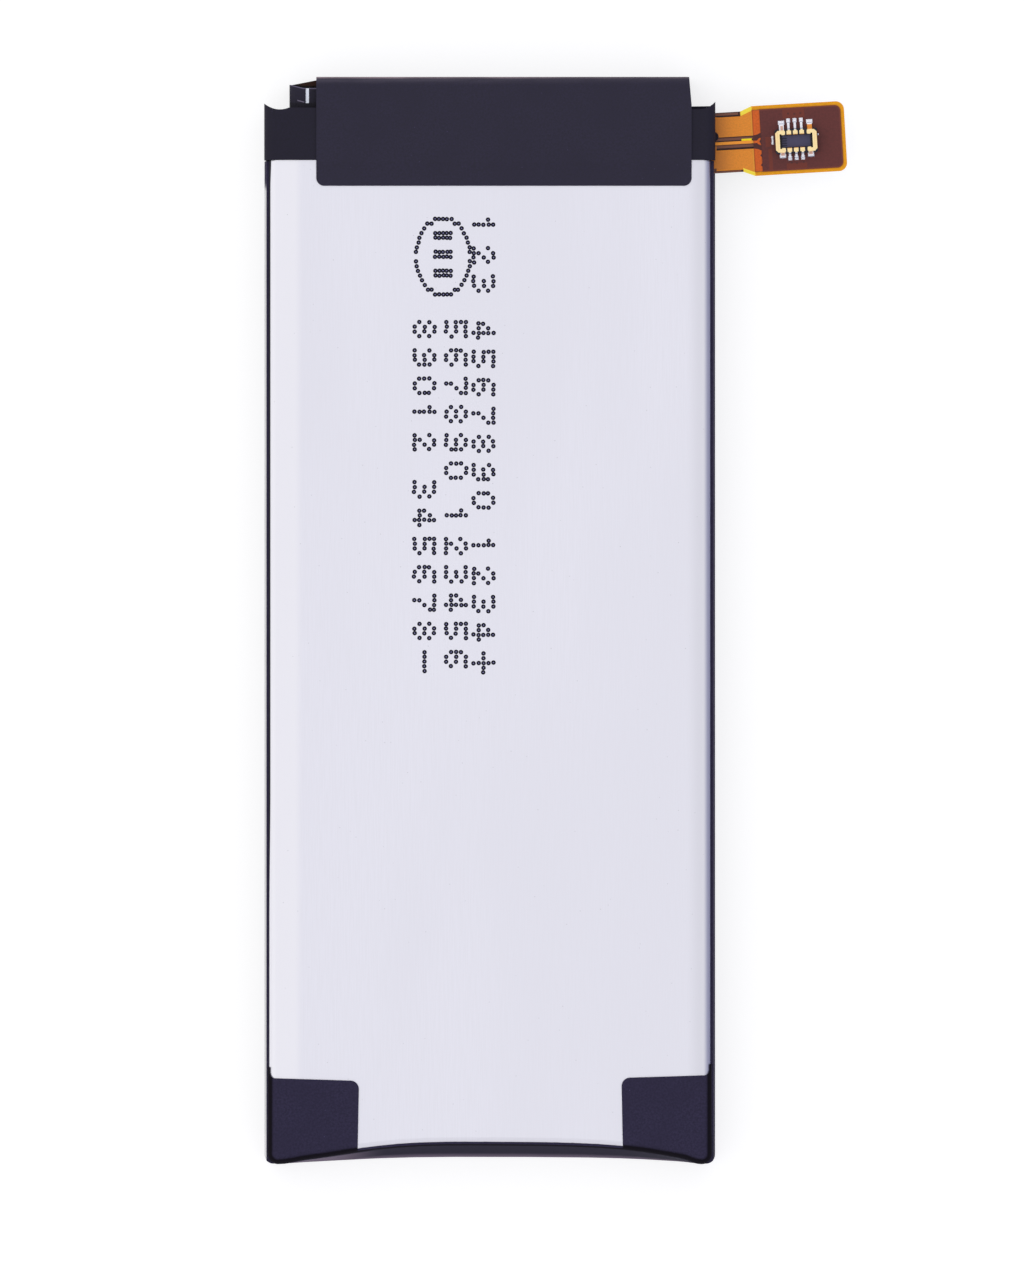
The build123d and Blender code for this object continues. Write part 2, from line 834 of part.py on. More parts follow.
def connector_housing():
    """Moulded plug: rim, recess and seats for all its contacts."""
    block = Pos(0, 0, housing_height / 2) * Box(housing_length, housing_width, housing_height)
    block = fillet(block.edges().filter_by(Axis.Z), housing_corner)
    depth = housing_height - cavity_floor
    recess = Pos(0, 0, cavity_floor + depth / 2) * Box(cavity_length, cavity_width, depth)
    block -= recess
    for index in (-1, 0, 1):
        key = Pos(key_length - cavity_length / 2, index * key_pitch) * Box(key_length, key_width, key_height)
        block += Pos(0, 0, cavity_floor + key_height / 2) * key
    groove = contact_groove(contact_neck_width, contact_head_width)
    for place, foot_end in contact_places():
        block -= place * groove
    end_groove = contact_groove(power_tail_width, power_tail_width)
    for side in (-power_tail_place, power_tail_place):
        block -= Pos(side, 0, 0) * (end_groove + mirror(end_groove, Plane.XZ))
    bracket = power_contact()
    block -= bracket + mirror(bracket, Plane.YZ)
    for place, foot_end in contact_places():
        block -= place * signal_contact(foot_end)
    return block


def contact_groove(neck, head):
    """Seat of one contact in the housing's outer face, rim and inner face."""
    outer = housing_width / 2 - face_gap - contact_thickness
    top = housing_height - contact_thickness / 2
    half = head / 2
    outside = slab(-neck / 2, neck / 2, outer, far, -far, far)
    rim = slab(-half, half, cavity_width / 2, far, top, far)
    inside = slab(
        -half, half, 0, cavity_width / 2 + contact_thickness, top - contact_leg_drop, far
    )
    return outside + rim + inside


def solder_pad(width, foot_end):
    """Soldered pad under one tail of the upper row."""
    block = Box(width + 2 * solder_margin, solder_length, solder_thickness)
    return Pos(0, foot_end - solder_length / 2 + solder_margin, solder_thickness / 2) * block


def solder_pads():
    """Soldered pads under all ten tails, as one group."""
    pads = Part()
    for place, foot_end in contact_places():
        pads += place * solder_pad(contact_neck_width, foot_end)
    ends = solder_pad(power_tail_width, upper_power_end)
    ends += mirror(solder_pad(power_tail_width, lower_power_end), Plane.XZ)
    for side in (-power_tail_place, power_tail_place):
        pads += Pos(side, 0, 0) * ends
    return pads


def write(name, shape):
    """Write one sub-part as its own file."""
    export_step(shape, f"parts/{name}.step")


def write_board_parts():
    """Write the seven parts on the board, column by column."""
    columns = list(column_places())
    switch = package(switch_size, switch_height_share * thermistor_height, switch_legs_per_row)
    monitor = package(monitor_size, monitor_height_share * thermistor_height, monitor_legs_per_row)
    resistor = chip(resistor_size, resistor_height_share * thermistor_height)
    capacitor = chip(capacitor_size, capacitor_height_share * thermistor_height)
    write("thermistor", on_board(chip(thermistor_size, thermistor_height), columns[0], thermistor_across))
    write("power_switch_chip", on_board(switch, columns[1], package_across))
    write("protection_chip", on_board(monitor, columns[2], package_across))
    write("sense_resistor", on_board(resistor, columns[3], sense_across))
    write("identity_resistor", on_board(resistor, columns[3], identity_across))
    write("supply_capacitor", on_board(capacitor, columns[4], capacitor_across))
    write("bypass_capacitor", on_board(capacitor, columns[5], capacitor_across))


def main():
    os.makedirs("parts", exist_ok=True)
    positive, negative = tab_places()
    write("pouch_cell", pouch_cell())
    write("positive_tab", positive * tab_strip())
    write("negative_tab", negative * tab_strip())
    write("positive_tab_seal", positive * seal_film())
    write("negative_tab_seal", negative * seal_film())
    write("positive_weld_pad", positive * weld_pad())
    write("negative_weld_pad", negative * weld_pad())
    write("board_mounting_pad", mounting_pad())
    write("protection_board", protection_board())
    write_board_parts()
    write("nickel_link", link_strap())
    write("board_sleeve", board_sleeve())
    write("top_wrap", top_wrap())
    write("cover_tape", cover_tape())
    write("edge_tape", edge_tape())
    write("flex_base_film", flex_base_film())
    write("positive_copper", copper_area(upper_plane, upper_lead))
    write("negative_copper", copper_area(lower_plane, lower_lead))
    write("sense_copper", copper_area(sense_line, sense_lead))
    write("connector_coverlay", connector_coverlay())
    write("connector_stiffener", connector_stiffener())
    write("tail_backing_tape", tail_backing_tape())
    write("connector_housing", connector_place * connector_housing())
    for number, (place, foot_end) in enumerate(contact_places(), 1):
        write(f"signal_contact_{number}", connector_place * place * signal_contact(foot_end))
    bracket = power_contact()
    write("power_contact_left", connector_place * bracket)
    write("power_contact_right", connector_place * mirror(bracket, Plane.YZ))
    write("solder_pads", connector_place * solder_pads())


main()
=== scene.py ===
import json
import math
import random

import bmesh
import bpy
from mathutils import Color, Matrix, Vector


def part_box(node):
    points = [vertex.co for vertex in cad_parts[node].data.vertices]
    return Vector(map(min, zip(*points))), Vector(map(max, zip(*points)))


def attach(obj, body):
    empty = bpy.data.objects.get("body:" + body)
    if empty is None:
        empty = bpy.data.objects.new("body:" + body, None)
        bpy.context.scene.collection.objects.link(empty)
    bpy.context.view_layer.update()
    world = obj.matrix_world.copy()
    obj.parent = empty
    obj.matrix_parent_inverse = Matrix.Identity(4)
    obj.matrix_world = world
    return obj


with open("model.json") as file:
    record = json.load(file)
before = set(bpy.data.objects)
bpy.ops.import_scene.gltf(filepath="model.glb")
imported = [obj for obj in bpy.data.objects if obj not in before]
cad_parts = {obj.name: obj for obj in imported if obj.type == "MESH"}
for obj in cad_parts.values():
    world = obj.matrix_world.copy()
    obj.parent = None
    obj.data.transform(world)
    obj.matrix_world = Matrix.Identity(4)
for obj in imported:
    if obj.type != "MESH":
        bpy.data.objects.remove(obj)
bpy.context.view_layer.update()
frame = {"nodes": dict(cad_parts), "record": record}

# Looks of a slim phone battery pack: finishes for its CAD nodes, the dot print on its bare face,
# and the cover strips and solder on its flat tail. Lengths in the helpers are millimetres.

bl_info = {
    "name": "Slim battery pack looks",
    "version": (1, 0, 0),
    "blender": (4, 5, 0),
    "location": "View3D > Sidebar > Battery pack",
    "description": "Finishes and surface detail for a slim phone battery pack",
    "category": "Object",
}

MM = 0.001
BODY = "root"


def settings():
    """Sizes and colours that the panel shows."""
    return bpy.context.scene.battery_pack


def size_of(name):
    """One of the panel's sizes in millimetres."""
    return getattr(settings().sizes, name) / MM


def colour_property(name, description, value):
    """Colour swatch given in display values."""
    return bpy.props.FloatVectorProperty(
        name=name, description=description, default=value, size=3, min=0, max=1, subtype="COLOR_GAMMA"
    )


def length_property(name, description, value):
    """Length, given in millimetres and kept in metres."""
    return bpy.props.FloatProperty(
        name=name, description=description, default=value * MM, subtype="DISTANCE", unit="LENGTH", precision=5
    )


def linear(colour):
    """Linear colour with alpha from a display colour."""
    return (*Color(tuple(colour)).from_srgb_to_scene_linear(), 1.0)


def shade(colour, factor):
    """Display colour made darker or lighter."""
    return tuple(min(1.0, channel * factor) for channel in colour)


class PackColours(bpy.types.PropertyGroup):
    """Colours of the pack's finishes."""

    laminate: colour_property("Laminate", "Bare aluminium laminate of the cell", (0.903, 0.90, 0.936))
    tape: colour_property("Tape", "Blue-black polyester tape", (0.155, 0.142, 0.213))
    film: colour_property("Film", "Clear amber film over a pale ground", (0.92, 0.62, 0.04))
    film_bright: colour_property("Bright film", "Single layer of amber film", (1.0, 0.91, 0.29))
    film_dark: colour_property("Dark film", "Amber film over the black tape", (0.49, 0.32, 0.26))
    copper: colour_property("Copper", "Copper seen through amber film", (0.90, 0.55, 0.17))
    strip: colour_property("Cover strip", "Clear red film over the copper's ends", (0.835, 0.37, 0.08))
    cover_film: colour_property("Cover film", "Dark red-brown cover film", (0.375, 0.165, 0.155))
    moulding: colour_property("Moulding", "Moulded plug", (0.11, 0.10, 0.16))
    gold: colour_property("Gold", "Gold plating of the contacts", (1.0, 0.89, 0.66))
    solder: colour_property("Solder", "Bright tin", (0.97, 0.97, 1.0))
    ink: colour_property("Ink", "Ink of the dot print", (0.03, 0.03, 0.11))


class PackSizes(bpy.types.PropertyGroup):
    """Sizes of the details that are added to the CAD nodes, and of the stage."""

    dot_size: length_property("Dot size", "Diameter of one printed dot", 0.255)
    dot_pitch: length_property("Dot pitch", "Distance between dots down the pack", 0.256)
    row_pitch: length_property("Row pitch", "Distance between dots across the pack", 0.266)
    print_top: length_property("Print top", "Upper end of the print along the pack", 22.6)
    ink_height: length_property("Ink height", "How far a dot stands above the face", 0.006)
    relief: length_property("Relief", "How far a cover strip stands above the film", 0.004)
    bead_height: length_property("Bead height", "How far a solder bead stands above its pad", 0.05)
    camera_distance: length_property("Camera distance", "Camera above the face", 2200.0)
    frame_height: length_property("Frame height", "Height of the picture at the face", 69.50)
    floor_size: length_property("Floor size", "Side of the pale floor", 2000.0)


class BatteryPack(bpy.types.PropertyGroup):
    """All the settings of the battery pack."""

    colours: bpy.props.PointerProperty(type=PackColours, name="Colours", description="Finishes")
    sizes: bpy.props.PointerProperty(type=PackSizes, name="Sizes", description="Details")


# Shader trees

# Places of the colour sockets on a Mix node, which has a set of sockets for each kind of value
MIX_FIRST, MIX_SECOND, MIX_RESULT = 6, 7, 2


class Nodes:
    """Adds nodes to one shader tree."""

    def __init__(self, tree):
        self.tree = tree

    def feed(self, socket, value):
        """Link or constant on a socket."""
        if isinstance(value, bpy.types.NodeSocket):
            self.tree.links.new(value, socket)
        elif isinstance(value, tuple) and socket.type == "RGBA":
            socket.default_value = linear(value)
        else:
            socket.default_value = value

    def maths(self, operation, first, second=0.0):
        """One arithmetic step."""
        node = self.tree.nodes.new("ShaderNodeMath")
        node.operation = operation
        self.feed(node.inputs[0], first)
        self.feed(node.inputs[1], second)
        return node.outputs[0]

    def span(self, value, low, high, to_low=0.0, to_high=1.0):
        """Value carried from one range to another, smoothly and held at both ends."""
        node = self.tree.nodes.new("ShaderNodeMapRange")
        node.interpolation_type = "SMOOTHSTEP"
        self.feed(node.inputs["Value"], value)
        node.inputs["From Min"].default_value = low
        node.inputs["From Max"].default_value = high
        node.inputs["To Min"].default_value = to_low
        node.inputs["To Max"].default_value = to_high
        return node.outputs["Result"]

    def band(self, value, low, high, soft=0.01):
        """One between two places and zero beyond them."""
        rise = self.span(value, low - soft, low + soft)
        fall = self.span(value, high - soft, high + soft, 1.0, 0.0)
        return self.overlap(rise, fall)

    def overlap(self, *masks):
        """Product of masks: one only where each of them is one."""
        product = masks[0]
        for mask in masks[1:]:
            product = self.maths("MULTIPLY", product, mask)
        return product

    def union(self, *masks):
        """Highest of masks: one where any of them is one."""
        highest = masks[0]
        for mask in masks[1:]:
            highest = self.maths("MAXIMUM", highest, mask)
        return highest

    def field(self, place, *ranges, soft=0.01):
        """One where every coordinate is inside its range, and zero elsewhere."""
        bands = [self.band(value, low, high, soft) for value, (low, high) in zip(place, ranges)]
        return self.overlap(*bands)

    def mix(self, factor, first, second):
        """Colour between two colours."""
        node = self.tree.nodes.new("ShaderNodeMix")
        node.data_type = "RGBA"
        self.feed(node.inputs["Factor"], factor)
        self.feed(node.inputs[MIX_FIRST], first)
        self.feed(node.inputs[MIX_SECOND], second)
        return node.outputs[MIX_RESULT]

    def axes(self, vector):
        """The three coordinates of a vector."""
        node = self.tree.nodes.new("ShaderNodeSeparateXYZ")
        self.feed(node.inputs[0], vector)
        return node.outputs[0], node.outputs[1], node.outputs[2]

    def seen_directly(self):
        """One for camera, glossy and transmission rays, and zero for the rays that carry soft light."""
        path = self.tree.nodes.new("ShaderNodeLightPath")
        rays = ("Is Camera Ray", "Is Glossy Ray", "Is Transmission Ray")
        return self.union(*(path.outputs[ray] for ray in rays))


class Finish(Nodes):
    """Procedural material on Object coordinates."""

    def __init__(self, name, colour, roughness, metallic=0.0, specular=0.5):
        self.material = bpy.data.materials.new(name)
        self.material.use_nodes = True
        super().__init__(self.material.node_tree)
        self.shader = self.tree.nodes["Principled BSDF"]
        self.tone = tuple(colour)
        self.feed(self.shader.inputs["Base Color"], self.tone)
        self.feed(self.shader.inputs["Roughness"], roughness)
        self.feed(self.shader.inputs["Metallic"], metallic)
        self.feed(self.shader.inputs["Specular IOR Level"], specular)
        coordinates = self.tree.nodes.new("ShaderNodeTexCoord")
        self.place = coordinates.outputs["Object"]
        self.facing = coordinates.outputs["Normal"]
        self.relief = None

    def drive(self, socket, source):
        """Pattern on one of the shader's sockets."""
        self.feed(self.shader.inputs[socket], source)

    def paint(self, mask, colour, strength=1.0):
        """Lay a colour over the finish where the mask is one, more thinly below full strength."""
        cover = mask if strength == 1.0 else self.maths("MULTIPLY", mask, strength)
        self.tone = self.mix(cover, self.tone, tuple(colour))
        self.drive("Base Color", self.tone)

    def vary(self, pattern, colour, low, high):
        """Run the whole finish between a darker and a lighter form of one colour."""
        self.tone = self.mix(self.span(pattern, 0.3, 0.7), shade(colour, low), shade(colour, high))
        self.drive("Base Color", self.tone)

    def mapped(self, scale=(1.0, 1.0, 1.0), turn=0.0, centre=(0.0, 0.0, 0.0)):
        """Object coordinates in a turned and scaled frame about a centre in millimetres."""
        node = self.tree.nodes.new("ShaderNodeMapping")
        node.vector_type = "TEXTURE"
        self.feed(node.inputs["Vector"], self.place)
        node.inputs["Location"].default_value = Vector(centre) * MM
        node.inputs["Rotation"].default_value = (0.0, 0.0, turn)
        node.inputs["Scale"].default_value = [MM / cells for cells in scale]
        return node.outputs["Vector"]

    def noise(self, scale, detail=2.0, rough=0.5):
        """Noise with its number of cells per millimetre along each axis."""
        node = self.tree.nodes.new("ShaderNodeTexNoise")
        self.feed(node.inputs["Vector"], self.mapped(scale))
        node.inputs["Scale"].default_value = 1.0
        node.inputs["Detail"].default_value = detail
        node.inputs["Roughness"].default_value = rough
        return node.outputs["Fac"]

    def spots(self, scale, size):
        """Small spots scattered in cells of the given number per millimetre."""
        node = self.tree.nodes.new("ShaderNodeTexVoronoi")
        self.feed(node.inputs["Vector"], self.mapped(scale))
        node.inputs["Scale"].default_value = 1.0
        return self.span(node.outputs["Distance"], size, 0.0)

    def bump(self, height, strength, depth):
        """Surface relief of a depth in millimetres, over any relief that was set before."""
        node = self.tree.nodes.new("ShaderNodeBump")
        node.inputs["Strength"].default_value = strength
        node.inputs["Distance"].default_value = depth * MM
        self.feed(node.inputs["Height"], height)
        if self.relief is not None:
            self.feed(node.inputs["Normal"], self.relief)
        self.relief = node.outputs["Normal"]
        self.drive("Normal", self.relief)


def coat(names, finish):
    """Give CAD nodes a finish."""
    for name in names:
        slots = frame["nodes"][name].data.materials
        slots.clear()
        slots.append(finish.material)


# Cell and tapes

# Painted highlight and painted shade on the laminate where it turns down at the pack's sides, and a dark line
# at its left edge that is partly the tape's turned lip and partly painted shadow
LIT_SHOULDER = (0.94, 0.935, 0.955)
SHADED_SHOULDER = (0.40, 0.41, 0.56)
LIP_SHADOW_TINT = (0.09, 0.09, 0.14)

# Painted sheen on the cover tape's bend, painted reflection and painted shade on the edge tape's wall and
# folds, painted highlight on the sleeve's cut edge and crease, painted shadow deep in its fold, and the
# colour of its adhesive
BEND_SHEEN = (0.27, 0.25, 0.31)
RIM_SHEEN = (0.62, 0.54, 0.57)
WALL_REFLECTION = (0.58, 0.52, 0.60)
FOLD_SHADE = (0.045, 0.03, 0.06)
CUT_EDGE_HIGHLIGHT = (0.40, 0.37, 0.46)
CREASE_HIGHLIGHT = (0.45, 0.42, 0.50)
ADHESIVE = (0.24, 0.14, 0.11)
FOLD_SHADOW = (0.05, 0.04, 0.05)

# The sleeve's front edge rises towards the left of its corner, and its crease crosses at a slant
SLEEVE_CORNER = -10.13
SLEEVE_RISE = 0.267
CREASE_SLANT = 0.26

SEAL_FILM = (0.90, 0.89, 0.84)
SOLDER_MASK = (0.07, 0.27, 0.17)


def laminate_finish(colour):
    """Satin laminate with fine grain along the pack, faint specks, a painted highlight on the left shoulder
    and painted shade on the right shoulder.
    """
    finish = Finish("satin laminate", colour, 0.36, metallic=0.9)
    side, along, _ = finish.axes(finish.mapped())
    grain = finish.noise((14.0, 0.5, 3.0), 3.0, 0.6)
    cloud = finish.noise((0.16, 0.05, 0.1), 2.0)
    finish.vary(grain, colour, 0.985, 1.0)
    finish.paint(finish.span(cloud, 0.35, 0.7, 0.0, 0.5), shade(colour, 0.975))
    # Painted highlight on the left shoulder, painted shade on the right shoulder
    finish.paint(finish.span(side, -10.64, -10.12, 0.6, 0.0), LIT_SHOULDER)
    finish.paint(finish.span(side, 10.6, 11.5, 0.0, 0.8), shade(colour, 0.93))
    finish.paint(finish.span(side, 11.62, 12.06), SHADED_SHOULDER)
    # Dark line along the face's left edge: partly the tape's lip turned over the corner, partly painted
    # shadow in the gap beside it
    above_foot = finish.span(along, -16.0, -8.0, 0.0, 0.06)
    near_wrap = finish.span(along, 24.3, 25.8, 0.0, 0.04)
    from_lip_shadow_line = finish.maths("SUBTRACT", side, finish.maths("ADD", above_foot, near_wrap))
    lip_shadow_line = finish.span(from_lip_shadow_line, -11.99, -11.95, 1.0, 0.0)
    finish.paint(lip_shadow_line, LIP_SHADOW_TINT)
    finish.drive("Metallic", finish.span(lip_shadow_line, 0.0, 1.0, 0.9, 0.0))
    finish.paint(finish.spots((1.6, 1.6, 1.6), 0.06), shade(colour, 0.8))
    finish.drive("Roughness", finish.union(lip_shadow_line, finish.span(grain, 0.2, 0.8, 0.33, 0.42)))
    finish.bump(grain, 0.25, 0.004)
    return finish


def tape_finish(name, colour, specular=0.22):
    """Matte blue-black tape with a fine tooth and a little dust."""
    finish = Finish(name, colour, 0.62, specular=specular)
    tooth = finish.noise((9.0, 9.0, 9.0), 3.0, 0.6)
    finish.vary(tooth, colour, 0.9, 1.1)
    finish.paint(finish.span(finish.noise((0.5, 0.5, 0.5)), 0.35, 0.7, 0.0, 0.4), shade(colour, 0.93))
    finish.paint(finish.spots((1.3, 1.3, 1.3), 0.05), shade(colour, 1.7))
    finish.drive("Roughness", finish.span(tooth, 0.2, 0.8, 0.52, 0.72))
    finish.bump(tooth, 0.3, 0.006)
    return finish


def cover_tape_finish(colour):
    """Tape with a painted sheen where it bends over the pack's upper edge."""
    finish = tape_finish("cover tape", colour)
    side, along, up = finish.axes(finish.mapped())
    sheen_patches = finish.span(finish.noise((0.35, 3.0, 3.0), 3.0), 0.35, 0.65, 0.35, 1.0)
    fading = finish.overlap(sheen_patches, finish.span(side, -9.0, 9.0, 1.0, 0.35))
    above = finish.span(up, 2.7, 2.95)
    # Painted sheen along the bend and a brighter painted sheen along its rim, patchy and fading towards the
    # right
    finish.paint(finish.overlap(finish.span(along, 29.9, 30.25), above, fading), BEND_SHEEN)
    finish.paint(finish.overlap(finish.span(along, 30.24, 30.35), above, fading), RIM_SHEEN)
    return finish


def edge_tape_finish(colour):
    """Tape with painted shade on its folds, a glossy left side, and an end wall darkened with painted shade
    and paled towards its lower edge with a painted reflection.
    """
    finish = tape_finish("edge tape", shade(colour, 1.18), specular=0.1)
    side, along, up = finish.axes(finish.mapped())
    tilt = finish.axes(finish.facing)[2]
    wall = finish.overlap(finish.span(along, -27.0, -27.15), finish.span(tilt, 0.5, 0.4))
    # Painted shade darkens the end wall
    finish.paint(wall, shade(colour, 0.9), 0.9)
    low = finish.span(up, 1.5, 0.2)
    left = finish.overlap(finish.span(side, -5.5, -9.0), finish.span(up, 3.1, 2.6))
    # Painted reflection pales the end wall near its lower edge and on its left part
    finish.paint(finish.overlap(wall, finish.union(low, left)), WALL_REFLECTION, 0.7)
    fold = finish.overlap(finish.span(tilt, 0.995, 0.84), finish.span(tilt, 0.25, 0.45))
    # Painted shade on the folds where the tape turns down
    finish.paint(fold, FOLD_SHADE, 0.95)
    left_side = finish.overlap(finish.span(side, -11.0, -12.0), finish.span(along, 25.0, 24.0))
    glossy = finish.overlap(left_side, finish.span(tilt, 0.4, 0.2))
    finish.drive("Roughness", finish.span(glossy, 0.0, 1.0, 0.85, 0.12))
    return finish


def sleeve_finish(colour):
    """Tape with a painted highlight on its cut edge and on a crease, painted shade where it runs under the
    wrap, and brown adhesive inside its fold with painted shadow deep in the fold.
    """
    finish = tape_finish("sleeve tape", colour)
    side, along, up = finish.axes(finish.mapped())
    front = finish.span(up, 2.6, 2.75)
    past_corner = finish.maths("MAXIMUM", finish.maths("SUBTRACT", SLEEVE_CORNER, side), 0.0)
    from_edge = finish.maths("SUBTRACT", along, finish.maths("MULTIPLY", past_corner, SLEEVE_RISE))
    # Painted shade where the sleeve runs under the wrap
    finish.paint(finish.field((along,), (28.6, 28.97), soft=0.05), shade(colour, 0.75))
    # Painted highlight along the cut front edge
    finish.paint(finish.overlap(finish.span(from_edge, 29.69, 29.73), front), CUT_EDGE_HIGHLIGHT)
    # Painted highlight along a small crease
    slant = finish.maths("ADD", along, finish.maths("MULTIPLY", side, CREASE_SLANT))
    crease = finish.field((side, slant), (-10.45, -10.07), (26.35, 26.41), soft=0.02)
    finish.paint(finish.overlap(crease, front), CREASE_HIGHLIGHT)
    inside = finish.band(up, 0.265, 2.6)
    finish.paint(inside, ADHESIVE)
    # Painted shadow deep inside the fold
    finish.paint(finish.overlap(inside, finish.span(from_edge, 29.86, 29.96, 1.0, 0.0)), FOLD_SHADOW)
    return finish


class BATTERYPACK_OT_finish_cell(bpy.types.Operator):
    """Finish the pouch cell, its tabs and their seals."""

    bl_idname = "battery_pack.finish_cell"
    bl_label = "Finish the cell"

    def execute(self, context):
        coat(["pouch_cell"], laminate_finish(settings().colours.laminate))
        aluminium = Finish("tab aluminium", (0.84, 0.84, 0.86), 0.35, metallic=1.0)
        aluminium.bump(aluminium.noise((8.0, 0.6, 8.0)), 0.3, 0.005)
        nickel = Finish("nickel strip", (0.93, 0.95, 1.0), 0.3, metallic=0.35)
        nickel.bump(nickel.noise((6.0, 1.0, 6.0)), 0.3, 0.005)
        film = Finish("milky seal film", SEAL_FILM, 0.4)
        film.vary(film.noise((1.2, 1.2, 1.2), 3.0), SEAL_FILM, 0.96, 1.03)
        coat(["positive_tab"], aluminium)
        coat(["negative_tab", "positive_weld_pad", "negative_weld_pad", "nickel_link"], nickel)
        coat(["positive_tab_seal", "negative_tab_seal"], film)
        return {"FINISHED"}


class BATTERYPACK_OT_finish_tape(bpy.types.Operator):
    """Finish the tapes round the cell, the terrace and the board."""

    bl_idname = "battery_pack.finish_tape"
    bl_label = "Finish the tapes"

    def execute(self, context):
        colour = settings().colours.tape
        dark = shade(colour, 0.80)
        coat(["cover_tape"], cover_tape_finish(colour))
        coat(["edge_tape"], edge_tape_finish(shade(colour, 1.03)))
        coat(["top_wrap", "tail_backing_tape"], tape_finish("wrap tape", dark, specular=0.17))
        coat(["board_sleeve"], sleeve_finish(shade(colour, 0.9)))
        return {"FINISHED"}


class BATTERYPACK_OT_finish_board(bpy.types.Operator):
    """Finish the protection board and the parts on it."""

    bl_idname = "battery_pack.finish_board"
    bl_label = "Finish the board"

    def execute(self, context):
        board = Finish("green solder mask", SOLDER_MASK, 0.35)
        cloth = board.noise((5.0, 5.0, 1.0), 2.0)
        board.vary(cloth, SOLDER_MASK, 0.85, 1.15)
        board.bump(cloth, 0.2, 0.004)
        foam = Finish("foam pad", (0.10, 0.10, 0.11), 0.9)
        foam.bump(foam.noise((9.0, 9.0, 9.0), 4.0), 0.8, 0.03)
        mould = Finish("moulded epoxy", (0.09, 0.09, 0.10), 0.55)
        mould.bump(mould.noise((14.0, 14.0, 14.0), 3.0), 0.5, 0.006)
        ceramic = Finish("fired ceramic", (0.62, 0.50, 0.38), 0.5)
        ceramic.bump(ceramic.noise((12.0, 12.0, 12.0), 3.0), 0.4, 0.005)
        coat(["protection_board"], board)
        coat(["board_mounting_pad"], foam)
        coat(["power_switch_chip", "protection_chip", "sense_resistor", "identity_resistor"], mould)
        coat(["supply_capacitor", "bypass_capacitor", "thermistor"], ceramic)
        return {"FINISHED"}


# The tail's own frame: along and across from its exit, and the plug's from its middle

def plug_centre():
    """Middle of the plug's top in metres, from the record's mount."""
    for mount in frame["record"]["mounts"]:
        if mount["name"] == "tail_connector":
            return Vector(mount["pos_m"])
    raise RuntimeError("the record has no tail_connector mount")


# The tail's turn in the pack, the plug's place along and across it, and the film's level under the plug
TAIL_TURN = math.radians(3.3)
PLUG_ALONG = 4.41
PLUG_ACROSS = -0.13
PLUG_HEIGHT = 0.6
COVER_TOP = plug_centre().z / MM - PLUG_HEIGHT

# Straight-edged core of the cover film, about which its corners are rounded
COVER_CORE_END = 6.58
COVER_CORE_SIDE = 1.38


def tail_matrix(along=0.0, across=0.0):
    """From millimetres about a place on the tail to metres in the pack's frame."""
    turn = Matrix.Rotation(TAIL_TURN, 4, "Z")
    offset = Vector((along - PLUG_ALONG, across - PLUG_ACROSS, 0.0)) * MM
    place = plug_centre() + turn @ offset
    place.z = 0.0
    return Matrix.Translation(place) @ turn @ Matrix.Scale(MM, 4)


def tail_axes(finish):
    """Along and across the tail, in millimetres, as shader values."""
    along, across, _ = finish.axes(finish.mapped(turn=TAIL_TURN, centre=tail_matrix().translation / MM))
    return along, across


def plug_axes(finish):
    """Along, across and up on the plug, in millimetres, as shader values."""
    centre = plug_centre() / MM
    return finish.axes(finish.mapped(turn=TAIL_TURN, centre=(centre.x, centre.y, COVER_TOP)))


def cover_reach(nodes, along, across):
    """Distance in millimetres from the straight-edged core of the cover film."""
    beyond = nodes.maths("MAXIMUM", nodes.maths("SUBTRACT", along, COVER_CORE_END), 0.0)
    off_middle = nodes.maths("ABSOLUTE", across)
    beside = nodes.maths("MAXIMUM", nodes.maths("SUBTRACT", off_middle, COVER_CORE_SIDE), 0.0)
    squares = nodes.maths("ADD", nodes.maths("POWER", beyond, 2.0), nodes.maths("POWER", beside, 2.0))
    return nodes.maths("SQRT", squares)


# Dark lines in the film beside the copper: lowest and highest place across the tail, and strength
GAP_LINES = (
    (1.60, 1.70, 0.7), (1.39, 1.475, 1.0), (0.235, 0.30, 0.7), (0.04, 0.10, 1.0),
    (-0.165, -0.125, 0.7), (-0.42, -0.30, 1.0), (-1.545, -1.49, 0.8), (-1.70, -1.64, 0.8),
)
# Paler borders of the copper: lowest and highest place across the tail
COPPER_BORDERS = ((1.33, 1.42), (0.28, 0.335), (-0.455, -0.40), (-1.55, -1.455))
# Where the tail starts to widen, and how fast the copper's bright flare widens with it
FLARE_START = 1.45
FLARE_SLOPE = 0.42

# Tints of the films and of the copper under them
FILM_BESIDE_COVER = (0.58, 0.27, 0.15)
GAP_LINE = (0.17, 0.08, 0.08)
NECK_LINE = (0.20, 0.09, 0.08)
SINGLE_FILM = (1.0, 0.92, 0.08)
SHADED_COPPER = (0.76, 0.46, 0.21)
SENSE_COPPER = (0.98, 0.62, 0.20)
COPPER_BORDER = (0.90, 0.54, 0.13)
COPPER_END = (0.94, 0.64, 0.22)
FAINT_TRACE = (0.46, 0.19, 0.13)
TEST_DOT = (0.20, 0.12, 0.13)
COVER_BORDER = (0.44, 0.21, 0.17)


